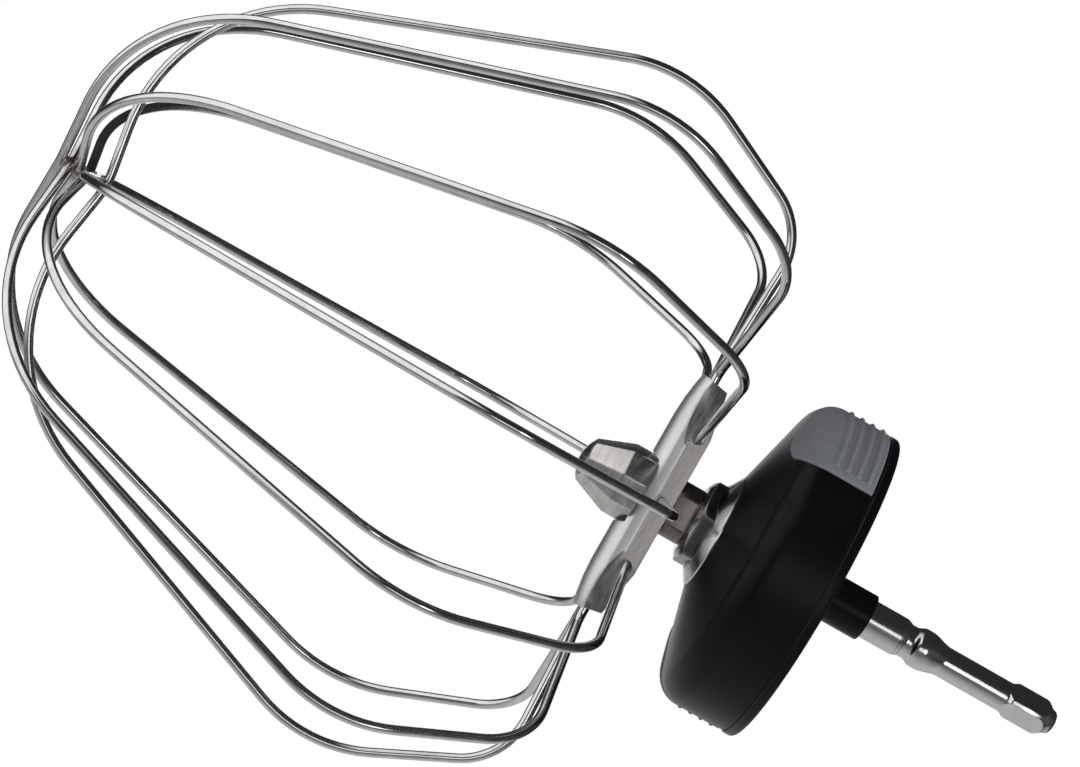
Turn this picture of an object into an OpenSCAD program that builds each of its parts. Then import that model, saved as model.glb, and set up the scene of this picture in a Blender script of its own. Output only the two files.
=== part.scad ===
// Balloon whisk for a stand mixer: six wire loops in a cross bar, carried on a drive shank
// with a lock nut and a domed splash shield. The shank points up (+Z), the cage hangs down.
// Heights inside the modules are measured from the line of the side holes in the cross bar.

/* [Wire cage] */
// Diameter of the spring wire
wire_d = 2.35; // [1.9:0.05:2.8]
// Radius at which a leg's root line and its flare meet
root_r = 71.4; // [66:0.2:76]
// Depth of that corner below the side holes
root_drop = 1.5; // [0.5:0.1:4]
// Bend radius of the root
root_bend = 17; // [12:1:22]
// Radius at which the flare and the taper of a leg meet
belly_r = 91.8; // [84:0.2:100]
// Depth of that corner below the side holes
belly_drop = 44; // [38:1:52]
// Bend radius of the belly
belly_bend = 36; // [26:1:44]
// Radius at which the taper and the top of a loop meet
shoulder_r = 48.4; // [42:0.2:54]
// How deep the top of the innermost loop is dimpled
dimple = 8; // [7:0.2:12]
// Bend radius of the shoulder
shoulder_bend = 43; // [34:1:46]
// Depth of the innermost wire where the loops cross
apex_drop = 149.2; // [134:0.2:158]
// Bend radius of the dimple over the crossing
apex_bend = 24; // [12:1:36]
// How much shallower the dimple of each further loop is
dimple_step = 1.2; // [0.8:0.1:1.2]
// Bend radius where a leg leaves the bar
neck_bend = 4; // [3:0.5:6]
// Straight length between the bar and that bend's corner
neck_out = 3; // [2.6:0.1:4]
// Gap between crossing wires
cross_gap = 0.05; // [0.03:0.01:0.2]
// Diameter of the weld that ties the crossing
weld_d = 3.6; // [3:0.1:5]

/* [Cross bar] */
// Length of the bar
bar_l = 60.8; // [56:0.2:66]
// Width of the bar, also the diameter of its rounded side
bar_w = 12; // [11:0.2:14]
// Width across the tapered ends
bar_end_w = 10; // [9.6:0.1:10.6]
// Height of the flat sides
bar_side_h = 4.2; // [3.8:0.1:6]
// Height of the bar's top above the side holes
bar_top = 2.75; // [2:0.05:3.5]
// Half length of the stretch of full width
bar_full = 19.5; // [18.6:0.1:24]
// Distance of the outer side holes from the axis
side_hole_x = 16.8; // [10:0.1:17.4]
// Pitch of the three holes in each end
end_hole_pitch = 2.9; // [2.8:0.05:3.1]
// Depth of the end holes below the side holes
end_hole_drop = 3.2; // [2.8:0.1:3.6]
// Length of wire seated in an end hole
end_seat = 7; // [4:0.5:9]
// Length of wire seated in an outer side hole
side_seat = 4.5; // [3:0.5:5]
// Metal left between a centre hole and the screw bore
seat_web = 0.6; // [0.3:0.1:1]
// How much deeper a hole is than the wire seated in it
hole_extra = 0.3; // [0.2:0.1:0.6]
// Radial clearance of a wire in its hole
wire_fit = 0.03; // [0.02:0.01:0.08]
// Depth of the flat spot face under the nose, from the side holes
spot_drop = 5.3; // [5:0.1:6]
// How much wider the spot face is than the nose across its corners
spot_fit = 0.6; // [0.2:0.1:1.2]

/* [Nose cap] */
// Width across the flats of the octagon
nose_af = 16.8; // [14:0.2:20]
// Height of the straight octagon
nose_prism_h = 5.9; // [3:0.1:9]
// Height of the tapered octagon
nose_taper_h = 10.6; // [7:0.1:14]
// Width across the flats at the small end
nose_end_af = 9; // [7:0.2:12]
// Radius of the dome that rounds the small end
nose_dome_r = 9; // [7:0.5:16]
// Height of that dome
nose_dome_h = 2.5; // [1:0.1:4]
// Depth of screw thread inside the cap
nose_bore_h = 11; // [6:0.5:12]
// Free depth beyond the end of the screw
nose_spare = 0.5; // [0.3:0.1:1]

/* [Hub and lock nut] */
// Diameter of the hub boss
hub_d = 14.2; // [12:0.2:17]
// Width across the two flats of the hub boss
hub_flats = 12; // [11:0.2:14]
// Height of the hub boss
hub_h = 5.6; // [3:0.1:9]
// Width across the flats of the lock nut
nut_af = 19.6; // [17:0.2:22]
// Height of the lock nut with its flange
nut_h = 6.5; // [5:0.1:9]
// Height of the plain hexagon below the flange
nut_hex_h = 3.2; // [2:0.1:5]
// Diameter of the chamfered end of the nut
nut_nose_d = 17; // [15:0.2:19]
// Height of that chamfer
nut_chamfer_h = 1.3; // [0.8:0.1:2]
// Diameter of the nut's flange
flange_d = 28.6; // [26:0.2:32]
// Thickness of the flange's edge
flange_edge = 0.6; // [0.4:0.1:1.2]
// How far inside the flats the flange's cone starts
flange_in = 0.6; // [0.3:0.1:1.2]
// How far below the end of the plain hexagon that cone starts
flange_sink = 1.2; // [0.6:0.1:1.8]

/* [Shield] */
// Diameter of the shield's band
shield_d = 79.2; // [70:0.2:90]
// Height of the shield over the nut
shield_h = 27.1; // [25:0.1:36]
// Slope of the dome's cone
dome_slope = 13.7; // [10:0.1:16]
// Radius that blends the cone into the band
dome_round = 11; // [8:0.5:13]
// Wall of the shield
shield_wall = 2.4; // [2:0.1:3.2]
// Height of the lip at the rim
lip_h = 2.6; // [2:0.1:4]
// How far the lip stands out from the band
lip_out = 0.4; // [0.2:0.1:1]
// Rounding of the lip
lip_round = 1; // [0.6:0.1:1.2]
// Outer diameter of the collar tube
collar_d = 11.7; // [11:0.1:15]
// Height of the collar tube above the rim
collar_out = 14.2; // [8:0.1:20]
// Chamfer on the collar's end
collar_chamfer = 0.5; // [0.2:0.1:0.5]

/* [Grip pads] */
// Radius of the pad's rounded end
pad_r = 17.3; // [12:0.1:19]
// Distance of the pad's straight edge from the lip
pad_edge = 0.4; // [0.3:0.1:2]
// Height of the straight sides of the pad
pad_side = 1.9; // [0.5:0.1:4]
// Direction of the first pad about the axis
pad_turn = 26; // [0:1:90]
// Depth of the recess that holds a pad
pad_recess = 1.2; // [0.8:0.1:1.6]
// How far a pad stands out of the shield
pad_proud = 0.4; // [0.2:0.1:0.8]
// Gap round a pad in its recess
pad_gap = 0.1; // [0.05:0.05:0.2]
// Number of ribs on a pad
rib_count = 4; // [2:1:5]
// Distance of the first rib from the pad's straight edge
rib_first = 2; // [1.4:0.1:3]
// Pitch of the ribs
rib_pitch = 2.8; // [2:0.1:3.2]
// Thickness of a rib
rib_w = 1.3; // [0.8:0.1:1.8]
// How far a rib stands out of its pad
rib_out = 0.7; // [0.4:0.1:1]
// Half of the angle that a rib spans
rib_span = 20; // [12:1:21]

/* [Shank] */
// Diameter of the shank's seat in the mixer
shank_d = 9.5; // [8.5:0.1:10.5]
// How much thinner the shank is under the collar and nut
core_step = 0.5; // [0.05:0.05:1]
// Clearance of the shank in the nut and the collar
core_fit = 0.05; // [0.03:0.01:0.1]
// Diameter of the screw end that holds the cage
screw_d = 6.2; // [5:0.1:6.4]
// Clearance of the screw end in the bar, the hub boss and the cap
screw_fit = 0.05; // [0.03:0.01:0.1]
// Length of the seat above the collar
seat_l = 9; // [6:0.5:14]
// Height of the groove and bead above the seat
bead_h = 12.1; // [10:0.1:15]
// Diameter of the groove above the seat
groove_d = 8.2; // [7.4:0.1:8.4]
// Length of the slope from the seat into the groove
groove_slope = 1.5; // [1:0.1:2.4]
// Length of the groove's floor
groove_l = 0.9; // [0.6:0.1:1.8]
// Diameter of the bead
bead_d = 9.9; // [9:0.1:10.8]
// Length of the rise from the groove to the bead
bead_rise = 2.5; // [1.4:0.1:2.6]
// Length of the bead's crown
bead_l = 1.2; // [0.6:0.1:2]
// Diameter of the waist
waist_d = 7.5; // [6.5:0.1:8]
// Length of the waist
waist_l = 16.4; // [10:0.1:22]
// Length over which the waist widens to the drive end
drive_lead = 1.4; // [0.8:0.1:3]
// Width across the flats of the drive end
drive_af = 7; // [6.6:0.1:7.4]
// Diameter that rounds the corners of the drive end
drive_d = 9; // [8.4:0.1:9.4]
// Length of the drive end
drive_l = 12; // [8:0.1:16]
// Height of the dome on the drive end
drive_dome = 4.2; // [3:0.1:5]

/* [Hidden] */
$fn = 48;

// Directions of the loops about the axis, from the innermost to the outermost at the crossing
loop_turn = [0, 90, 120, 60, 150, 30];

// Heights of the stack above the side holes
hub_top = bar_top + hub_h;
nut_top = hub_top + nut_h;
rim_z = nut_top + shield_h;
collar_top = rim_z + collar_out;
seat_top = collar_top + seat_l;
bead_top = seat_top + bead_h;
waist_top = bead_top + waist_l;
drive_bottom = waist_top + drive_lead;
drive_top = drive_bottom + drive_l;
// The origin is the middle of the shank's seat
origin_z = collar_top + seat_l / 2;

// How far cutting shapes reach past what they cut
over = 2;

core_d = shank_d - core_step;
core_bore = core_d + 2 * core_fit;
screw_bore = screw_d + 2 * screw_fit;
flat_z = bar_top - bar_side_h;

module placed() {
    translate([0, 0, -origin_z]) children();
}

// Wires

function unit(v) = v / norm(v);
function side_of(v) = abs(v) < 0.001 ? 0 : sign(v);
function at_end(a) = abs(cos(a)) > 0.8;
function at_leg(a, r, drop) = [r * cos(a), r * sin(a), -drop];
function mouth(a) = at_end(a)
    ? [side_of(cos(a)) * bar_l / 2, side_of(sin(a)) * end_hole_pitch, -end_hole_drop]
    : [side_of(cos(a)) * side_hole_x, side_of(sin(a)) * bar_w / 2, 0];

// The middle holes of a side or an end point straight at their legs, and the others are
// drilled square, so that the wire bends outside them
function in_line(a) = a % 90 == 0;
function way_out(a) = in_line(a) ? unit(at_leg(a, root_r, root_drop) - mouth(a))
    : at_end(a) ? [side_of(cos(a)), 0, 0]
    : [0, side_of(sin(a)), 0];
function seat(a) = at_end(a) ? end_seat
    : in_line(a) ? (bar_w - screw_bore) / 2 - seat_web - hole_extra
    : side_seat;

// Corners of one leg, from its seat in the bar to the shoulder
function neck(a) = in_line(a) ? [] : [mouth(a) + way_out(a) * neck_out];
function leg(a, level) = concat([mouth(a) - way_out(a) * seat(a)], neck(a), [
    at_leg(a, root_r, root_drop),
    at_leg(a, belly_r, belly_drop),
    at_leg(a, shoulder_r, dip(level) - apex(level).z)]);
function leg_bends(a) =
    concat(in_line(a) ? [0] : [0, neck_bend], [root_bend, belly_bend, shoulder_bend]);
function dip(level) = dimple - level * dimple_step;

// Corner of the dimple, above the wire's own crossing by what its bend cuts off
function apex(level) =
    let (cut = apex_bend * (1 / cos(atan(dip(level) / shoulder_r)) - 1))
    [0, 0, cut - apex_drop - level * (wire_d + bend_swell + cross_gap)];

function backwards(list) = [for (i = [len(list) - 1:-1:0]) list[i]];
function loop_path(a, level) =
    concat(leg(a, level), [apex(level)], backwards(leg(a + 180, level)));
function loop_bends(a) = concat(leg_bends(a), [apex_bend], backwards(leg_bends(a)));
function turn(p, i) = acos(min(1, unit(p[i] - p[i - 1]) * unit(p[i + 1] - p[i])));
function setback(p, bends, i) = bends[i] == 0 ? 0 : bends[i] * tan(turn(p, i) / 2);

run_in = 0.1;
bend_swell = 0.02;

// A straight run, whose ends reach a little way into the bends beside it
module rod(from, to) {
    v = to - from;
    translate(from - unit(v) * run_in)
        rotate([0, acos(v.z / norm(v)), atan2(v.y, v.x)])
            cylinder(h = norm(v) + 2 * run_in, d = wire_d);
}

// One bend, from the direction "into" to the direction "on", a hair thicker than the runs
module bend(corner, into, on, radius, angle) {
    inward = unit(on - into * (into * on));
    centre = corner - into * radius * tan(angle / 2) + inward * radius;
    out = -inward;
    axis = cross(out, into);
    multmatrix([[out.x, into.x, axis.x, centre.x],
                [out.y, into.y, axis.y, centre.y],
                [out.z, into.z, axis.z, centre.z],
                [0, 0, 0, 1]])
        rotate_extrude(angle = angle)
            translate([radius, 0])
                circle(d = wire_d + bend_swell);
}

module bent_wire(p, bends) {
    last = len(p) - 1;
    for (i = [0:last - 1]) {
        way = unit(p[i + 1] - p[i]);
        rod(p[i] + way * setback(p, bends, i), p[i + 1] - way * setback(p, bends, i + 1));
    }
    for (i = [1:last - 1])
        bend(p[i], unit(p[i] - p[i - 1]), unit(p[i + 1] - p[i]), bends[i], turn(p, i));
}

module loop_shape(level) {
    a = loop_turn[level];
    bent_wire(loop_path(a, level), loop_bends(a));
}

module wire_loop(level) {
    color([0.78, 0.78, 0.79]) placed() loop_shape(level);
}

// The weld fills the space between the crossing wires
module tip_weld() {
    top = apex(0).z + wire_d / 2;
    bottom = apex(len(loop_turn) - 1).z - wire_d / 2;
    color([0.62, 0.58, 0.54]) placed()
        difference() {
            translate([0, 0, bottom]) cylinder(h = top - bottom, d = weld_d);
            for (level = [0:len(loop_turn) - 1]) loop_shape(level);
        }
}

// Cross bar

module bar_plan() {
    polygon([[-bar_l / 2, -bar_end_w / 2], [-bar_full, -bar_w / 2],
             [bar_full, -bar_w / 2], [bar_l / 2, -bar_end_w / 2],
             [bar_l / 2, bar_end_w / 2], [bar_full, bar_w / 2],
             [-bar_full, bar_w / 2], [-bar_l / 2, bar_end_w / 2]]);
}

// Half of the plan, turned about the bar's long axis
module bar_round() {
    rotate([0, 90, 0])
        rotate_extrude()
            polygon([[0, -bar_l / 2], [bar_end_w / 2, -bar_l / 2], [bar_w / 2, -bar_full],
                     [bar_w / 2, bar_full], [bar_end_w / 2, bar_l / 2], [0, bar_l / 2]]);
}

module wire_hole(a) {
    way = way_out(a);
    depth = seat(a) + hole_extra;
    translate(mouth(a) - way * depth)
        rotate([0, acos(way.z), atan2(way.y, way.x)])
            cylinder(h = depth + over, d = wire_d + 2 * wire_fit);
}

module cross_bar() {
    color([0.72, 0.72, 0.73]) placed()
        difference() {
            union() {
                translate([0, 0, flat_z]) linear_extrude(bar_side_h) bar_plan();
                intersection() {
                    translate([0, 0, flat_z]) bar_round();
                    translate([-bar_l, -bar_w, flat_z - bar_w])
                        cube([2 * bar_l, 2 * bar_w, bar_w]);
                }
            }
            translate([0, 0, -spot_drop - bar_w])
                cylinder(h = bar_w, d = nose_af / cos(22.5) + spot_fit);
            translate([0, 0, -bar_w]) cylinder(h = 2 * bar_w, d = screw_bore);
            for (a = [0:30:330]) wire_hole(a);
        }
}

// Nose cap: an octagon that tapers to a rounded end, threaded on the screw end of the shank

module nose_cap() {
    across = 1 / cos(22.5);
    taper_z = -spot_drop - nose_prism_h;
    end_z = taper_z - nose_taper_h;
    color([0.66, 0.65, 0.63]) placed()
        difference() {
            intersection() {
                rotate([0, 0, 22.5])
                    union() {
                        translate([0, 0, taper_z])
                            linear_extrude(nose_prism_h) circle(d = nose_af * across, $fn = 8);
                        translate([0, 0, end_z])
                            cylinder(h = nose_taper_h, d1 = nose_end_af * across,
                                     d2 = nose_af * across, $fn = 8);
                    }
                union() {
                    translate([0, 0, end_z + nose_dome_r]) sphere(r = nose_dome_r, $fn = 64);
                    translate([0, 0, end_z + nose_dome_h])
                        cylinder(h = nose_taper_h + nose_prism_h, r = nose_af);
                }
            }
            translate([0, 0, -spot_drop - nose_bore_h - nose_spare])
                cylinder(h = nose_bore_h + nose_spare + over, d = screw_bore);
        }
}

// Hub boss and lock nut

module hub_boss() {
    color([0.50, 0.48, 0.46]) placed()
        translate([0, 0, bar_top])
            difference() {
                intersection() {
                    cylinder(h = hub_h, d = hub_d);
                    translate([-hub_d, -hub_flats / 2, 0]) cube([2 * hub_d, hub_flats, hub_h]);
                }
                translate([0, 0, -over]) cylinder(h = hub_h + 2 * over, d = screw_bore);
            }
}

module lock_nut() {
    nut_r = nut_af / 2 / cos(30);
    color([0.70, 0.70, 0.70]) placed()
        translate([0, 0, hub_top])
            difference() {
                union() {
                    intersection() {
                        rotate([0, 0, 30])
                            linear_extrude(nut_h - flange_edge) circle(r = nut_r, $fn = 6);
                        rotate_extrude()
                            polygon([[0, 0], [nut_nose_d / 2, 0], [nut_r, nut_chamfer_h],
                                     [nut_r, nut_h], [0, nut_h]]);
                    }
                    rotate_extrude()
                        polygon([[0, nut_hex_h - flange_sink],
                                 [nut_af / 2 - flange_in, nut_hex_h - flange_sink],
                                 [flange_d / 2, nut_h - flange_edge], [flange_d / 2, nut_h],
                                 [0, nut_h]]);
                }
                translate([0, 0, -over]) cylinder(h = nut_h + 2 * over, d = core_bore);
            }
}

// Shield

base_r = flange_d / 2;
band_r = shield_d / 2;
round_c = [band_r - dome_round,
           nut_top + (band_r - dome_round - base_r) * tan(dome_slope) + dome_round / cos(dome_slope)];

function arc(centre, r, from, to, steps) =
    [for (i = [0:steps]) let (a = from + (to - from) * i / steps) centre + r * [cos(a), sin(a)]];

// Everything inside the dome's outer surface, moved outwards by "out"
module dome_area(out, top) {
    low = nut_top - out / cos(dome_slope);
    polygon(concat([[0, low], [base_r, low]],
                   arc(round_c, dome_round + out, dome_slope - 90, 0, 9),
                   [[band_r + out, top], [0, top]]));
}

module lip_area() {
    outer = band_r + lip_out;
    inner = band_r - shield_wall;
    polygon(concat([[inner, rim_z - lip_h], [outer, rim_z - lip_h]],
                   arc([outer - lip_round, rim_z - lip_round], lip_round, 0, 90, 4),
                   [[inner, rim_z]]));
}

module collar_area() {
    r = collar_d / 2;
    polygon([[0, nut_top], [r, nut_top], [r, collar_top - collar_chamfer],
             [r - collar_chamfer, collar_top], [0, collar_top]]);
}

module shield_area() {
    difference() {
        union() {
            difference() {
                dome_area(0, rim_z - lip_h);
                dome_area(-shield_wall, rim_z + 1);
            }
            lip_area();
            collar_area();
        }
        translate([-1, nut_top - 1]) square([1 + core_bore / 2, collar_top - nut_top + 2]);
    }
}

pad_top = rim_z - lip_h - pad_edge;
// How deep a rib is rooted in its pad
rib_root = 0.4;

// The D-shaped outline of a pad, as a bar that points outwards along +X
module pad_prism(gap) {
    rotate([90, 0, 90])
        linear_extrude(band_r + over)
            intersection() {
                translate([0, pad_top - pad_side])
                    union() {
                        circle(r = pad_r - gap, $fn = 96);
                        translate([gap - pad_r, 0]) square([2 * (pad_r - gap), pad_side - gap]);
                    }
                translate([-pad_r, pad_top - pad_side - 2 * pad_r])
                    square([2 * pad_r, 2 * pad_r + pad_side - gap]);
            }
}

module shield() {
    color([0.07, 0.07, 0.08]) placed()
        difference() {
            rotate_extrude($fn = 128) shield_area();
            for (side = [0, 180])
                rotate([0, 0, pad_turn + side])
                    intersection() {
                        pad_prism(0);
                        rotate_extrude($fn = 128)
                            difference() {
                                dome_area(over, rim_z - lip_h);
                                dome_area(-pad_recess, rim_z);
                            }
                    }
        }
}

module grip_pad(side) {
    color([0.42, 0.44, 0.47]) placed()
        rotate([0, 0, pad_turn + side]) {
            intersection() {
                pad_prism(pad_gap);
                rotate_extrude($fn = 128)
                    difference() {
                        dome_area(pad_proud, rim_z - lip_h);
                        dome_area(-pad_recess + pad_gap / 2, rim_z);
                    }
            }
            for (i = [0:rib_count - 1])
                translate([0, 0, pad_top - rib_first - i * rib_pitch])
                    rotate([0, 0, -rib_span])
                        rotate_extrude(angle = 2 * rib_span, $fn = 128)
                            translate([band_r + pad_proud - rib_root, -rib_w / 2])
                                square([rib_out + rib_root, rib_w]);
        }
}

// Shank

// A smooth S from one [radius, height] to another
function ease(from, to) =
    [for (i = [0:6]) let (t = i / 6, s = (1 - cos(180 * t)) / 2)
        [from.x + (to.x - from.x) * s, from.y + (to.y - from.y) * t]];

module shank_turned() {
    groove_z = seat_top + groove_slope;
    crown_z = groove_z + groove_l + bead_rise;
    rotate_extrude()
        polygon(concat(
            [[0, -spot_drop - nose_bore_h], [screw_d / 2, -spot_drop - nose_bore_h],
             [screw_d / 2, hub_top], [core_d / 2, hub_top], [core_d / 2, collar_top],
             [shank_d / 2, collar_top], [shank_d / 2, seat_top], [groove_d / 2, groove_z]],
            ease([groove_d / 2, groove_z + groove_l], [bead_d / 2, crown_z]),
            ease([bead_d / 2, crown_z + bead_l], [waist_d / 2, bead_top]),
            [[waist_d / 2, waist_top], [0, waist_top]]));
}

module drive_end() {
    h = drive_top - waist_top;
    translate([0, 0, waist_top])
        intersection() {
            rotate([0, 0, 45])
                translate([-drive_af / 2, -drive_af / 2, 0]) cube([drive_af, drive_af, h]);
            rotate_extrude()
                polygon([[0, 0], [waist_d / 2, 0], [drive_d / 2, drive_bottom - waist_top],
                         [drive_d / 2, h - drive_dome], [drive_af / 2, h - drive_dome * 0.45],
                         [drive_af / 4, h], [0, h]]);
        }
}

module shank() {
    color([0.80, 0.80, 0.81]) placed()
        union() {
            shank_turned();
            drive_end();
        }
}

wire_loop(0);  // wire_1
wire_loop(1);  // wire_2
wire_loop(2);  // wire_3
wire_loop(3);  // wire_4
wire_loop(4);  // wire_5
wire_loop(5);  // wire_6
tip_weld();
cross_bar();
nose_cap();
hub_boss();
lock_nut();
shank();
shield();
grip_pad(0);  // grip_pad_1
grip_pad(180);  // grip_pad_2
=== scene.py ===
"""Looks for a stand mixer's balloon whisk: bent wire loops in a cross bar, an octagonal nose,
a lock nut, a domed splash shield with rubber grips, and a turned drive shank."""

from math import acos, atan, cos, pi, radians, sin, tan

import bpy
import bmesh
from mathutils import Matrix, Vector


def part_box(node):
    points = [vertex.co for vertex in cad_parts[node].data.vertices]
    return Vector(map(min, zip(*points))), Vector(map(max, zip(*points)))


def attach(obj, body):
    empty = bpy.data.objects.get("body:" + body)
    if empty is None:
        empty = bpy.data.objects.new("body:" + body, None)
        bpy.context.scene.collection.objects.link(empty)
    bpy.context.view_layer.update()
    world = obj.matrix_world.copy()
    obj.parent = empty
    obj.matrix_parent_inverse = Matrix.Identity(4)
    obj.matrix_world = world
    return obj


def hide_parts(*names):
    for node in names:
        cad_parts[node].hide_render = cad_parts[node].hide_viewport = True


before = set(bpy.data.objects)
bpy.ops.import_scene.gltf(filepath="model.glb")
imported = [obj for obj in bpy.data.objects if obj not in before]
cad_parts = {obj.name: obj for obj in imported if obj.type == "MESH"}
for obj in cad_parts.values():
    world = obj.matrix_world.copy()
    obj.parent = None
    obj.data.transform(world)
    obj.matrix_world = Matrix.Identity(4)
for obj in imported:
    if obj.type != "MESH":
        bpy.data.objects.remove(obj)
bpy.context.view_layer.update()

MM = 0.001
# In metres: how far apart two vertices still count as one place, and as one vertex
CLOSE, MERGE = 1e-6, 2e-6

# Sizes in millimetres. Most repeat the frame's own. The bar's ends and flats, the turns of the
# nose and the nut, the shield's dome and the pads' outline are finer here. Heights are measured
# from the line of the side holes in the cross bar, as the maker of the whisk would set them out.
BAR_TOP = 2.75
HOLE_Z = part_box("cross_bar")[1][2] / MM - BAR_TOP

WIRE_D = 2.35
ROOT_R, ROOT_DROP, ROOT_BEND = 71.4, 1.5, 17
BELLY_R, BELLY_DROP, BELLY_BEND = 91.8, 44, 36
SHOULDER_R, SHOULDER_BEND = 48.4, 43
APEX_DROP, APEX_BEND = 149.2, 24
DIMPLE, DIMPLE_STEP = 8, 1.2
NECK_OUT, NECK_BEND = 3, 4
LOOP_TURNS = [0, 90, 120, 60, 150, 30]
LEVEL_PITCH = 2.42
WIRE_POINTS, BEND_STEP = 20, radians(4)

BEAD_BALL, BEAD_SQUASH = 1.3, (1.25, 0.95, 0.8)
LUMP_SPAN, LUMP_HEIGHT, LUMP_LEVEL = 1.1, 0.35, 0.6

BAR_L, BAR_W = 60.8, 12
BAR_SIDE_H, FLAT_STEP = 4.2, 0.2
# How far out, how wide from the middle and how deep the rounded side of the bar is
BAR_ENDS = [(19.5, 6, 6), (24, 5.85, 5.75), (28, 5.5, 5.2), (32, 4.9, 4.4)]
BAR_TAPER_FROM, BAR_TAPER_END_W = 14, 9.2
BAR_TOP_FULL, BAR_TOP_SLANT, BAR_END_SLANT = 18, radians(10), radians(11)
SIDE_HOLE_X, END_HOLE_PITCH, END_HOLE_DROP = 16.8, 2.9, 3.2
END_SEAT, SIDE_SEAT, MIDDLE_SEAT = 7, 4.5, 1.95
SEAT_SPARE, DRILL_OVER = 0.2, 2
HOLE_R, MOUTH_R, MOUTH_DEPTH = WIRE_D / 2 + 0.05, WIRE_D / 2 + 0.32, 0.3
SPOT_DROP, SPOT_D = 5.3, 18.8

NOSE_AF, NOSE_PRISM_H, NOSE_TAPER_H, NOSE_END_AF = 16.8, 5.9, 10.6, 9
NOSE_DOME_R, NOSE_TURN = 9, radians(13.5)

HUB_D, HUB_FLATS, HUB_H = 14.2, 12, 5.6
NUT_AF, NUT_H, NUT_HEX_H, NUT_NOSE_D, NUT_CHAMFER_H = 19.6, 6.5, 3.2, 17, 1.3
NUT_TURN, NUT_SPARE = radians(-12.8), 0.3
FLANGE_D, FLANGE_EDGE, FLANGE_IN, FLANGE_SINK = 28.6, 0.6, 0.6, 0.3

SHIELD_D, SHIELD_H, DOME_SLOPE, DOME_ROUND = 79.2, 27.1, radians(15.4), 7
WALL, LIP_H, LIP_OUT, LIP_ROUND = 2.4, 2.6, 0.4, 1
LIP_GROOVE, LAND_H = 0.25, 0.12
COLLAR_D, COLLAR_OUT, COLLAR_EDGE = 11.7, 14.2, 0.5

PAD_R, PAD_EDGE, PAD_TURN, PAD_LEAN = 16, 0.4, radians(26), radians(35)
PAD_END, PAD_SHOULDER = 20.3, 30.5
PAD_RECESS, PAD_PROUD, PAD_GAP = 1.2, 0.4, 0.1
RIB_COUNT, RIB_FIRST, RIB_PITCH, RIB_W, RIB_SPAN = 4, 2, 2.8, 1.3, radians(20)
RIB_RISE = 0.05
# The domed end of a rib: how far each step goes out, in rib widths, and how much it shrinks
RIB_DOME = [(0.35, 0.9), (0.3, 0.72), (0.15, 0.5)]

SHANK_D, CORE_D, SCREW_D, GROOVE_D, BEAD_D, WAIST_D = 9.5, 9, 6.2, 8.2, 9.9, 7.5
SCREW_IN, SLIDE = 11, 0.05
SEAT_L, BEAD_H, WAIST_L, DRIVE_LEAD, DRIVE_L = 9, 12.1, 16.4, 1.4, 12
GROOVE_SLOPE, GROOVE_L, BEAD_RISE, BEAD_L = 1.5, 0.9, 2.5, 1.2
DRIVE_AF, DRIVE_D, DRIVE_DOME = 7, 9, 4.2

BAR_FLAT = BAR_TOP - BAR_SIDE_H
HUB_TOP = BAR_TOP + HUB_H
NUT_TOP = HUB_TOP + NUT_H
RIM = NUT_TOP + SHIELD_H
PAD_TOP = RIM - LIP_H - PAD_EDGE
COLLAR_TOP = RIM + COLLAR_OUT
SEAT_TOP = COLLAR_TOP + SEAT_L
BEAD_TOP = SEAT_TOP + BEAD_H
WAIST_TOP = BEAD_TOP + WAIST_L
DRIVE_TOP = WAIST_TOP + DRIVE_LEAD + DRIVE_L


def at(x, y, height):
    """A place in metres, from millimetres beside the axis and above the side holes."""
    return Vector((x, y, height + HOLE_Z)) * MM


# Shaping helpers: each one drives the same tools that a modeller uses by hand

def only(piece):
    """Selects this piece alone."""
    bpy.ops.object.select_all(action="DESELECT")
    piece.select_set(True)
    bpy.context.view_layer.objects.active = piece


def edit(piece):
    bpy.context.view_layer.objects.active = piece
    bpy.ops.object.mode_set(mode="EDIT")
    bpy.ops.mesh.select_all(action="SELECT")


def leave():
    bpy.ops.object.mode_set(mode="OBJECT")


def new_piece(name):
    """Names the primitive just added and puts its place into its mesh."""
    piece = bpy.context.object
    piece.name = piece.data.name = name
    bpy.ops.object.transform_apply(location=True, rotation=True, scale=True)
    return piece


def ring(name, radius, centre, way=(0, 0, 1), points=96, fill="NGON"):
    bpy.ops.object.select_all(action="DESELECT")
    bpy.ops.mesh.primitive_circle_add(
        vertices=points, radius=radius * MM, fill_type=fill, location=centre,
        rotation=Vector(way).to_track_quat("Z", "Y").to_euler())
    return new_piece(name)


def pick(piece, kind, test):
    """Selects the vertices, edges or faces of the edited mesh that pass a test."""
    mesh = bmesh.from_edit_mesh(piece.data)
    for item in mesh.verts[:] + mesh.edges[:] + mesh.faces[:]:
        item.select_set(False)
    for item in getattr(mesh, kind):
        if test(item):
            item.select_set(True)
    mesh.select_flush_mode()
    bmesh.update_edit_mesh(piece.data)


def extrude(move):
    bpy.ops.mesh.extrude_region_move(TRANSFORM_OT_translate={"value": move})


def tidy(piece):
    """Merges what meets and turns every face outwards."""
    edit(piece)
    bpy.ops.mesh.remove_doubles(threshold=MERGE)
    bpy.ops.mesh.dissolve_degenerate(threshold=CLOSE)
    bpy.ops.mesh.select_all(action="SELECT")
    bpy.ops.mesh.normals_make_consistent(inside=False)
    leave()


def turned(name, stations, points=96, hollow=False):
    """A lathe shape: a ring at the first (radius, height), drawn out to each next one.
    A hollow one comes back to where it started and so closes on itself."""
    radius, height = stations[0]
    fill = "NOTHING" if hollow else "NGON"
    piece = ring(name, radius, at(0, 0, height), points=points, fill=fill)
    edit(piece)
    for (r0, h0), (r1, h1) in zip(stations, stations[1:]):
        extrude((0, 0, (h1 - h0) * MM))
        bpy.ops.transform.resize(value=(r1 / r0, r1 / r0, 1), center_override=(0, 0, 0))
    leave()
    tidy(piece)
    return piece


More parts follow.
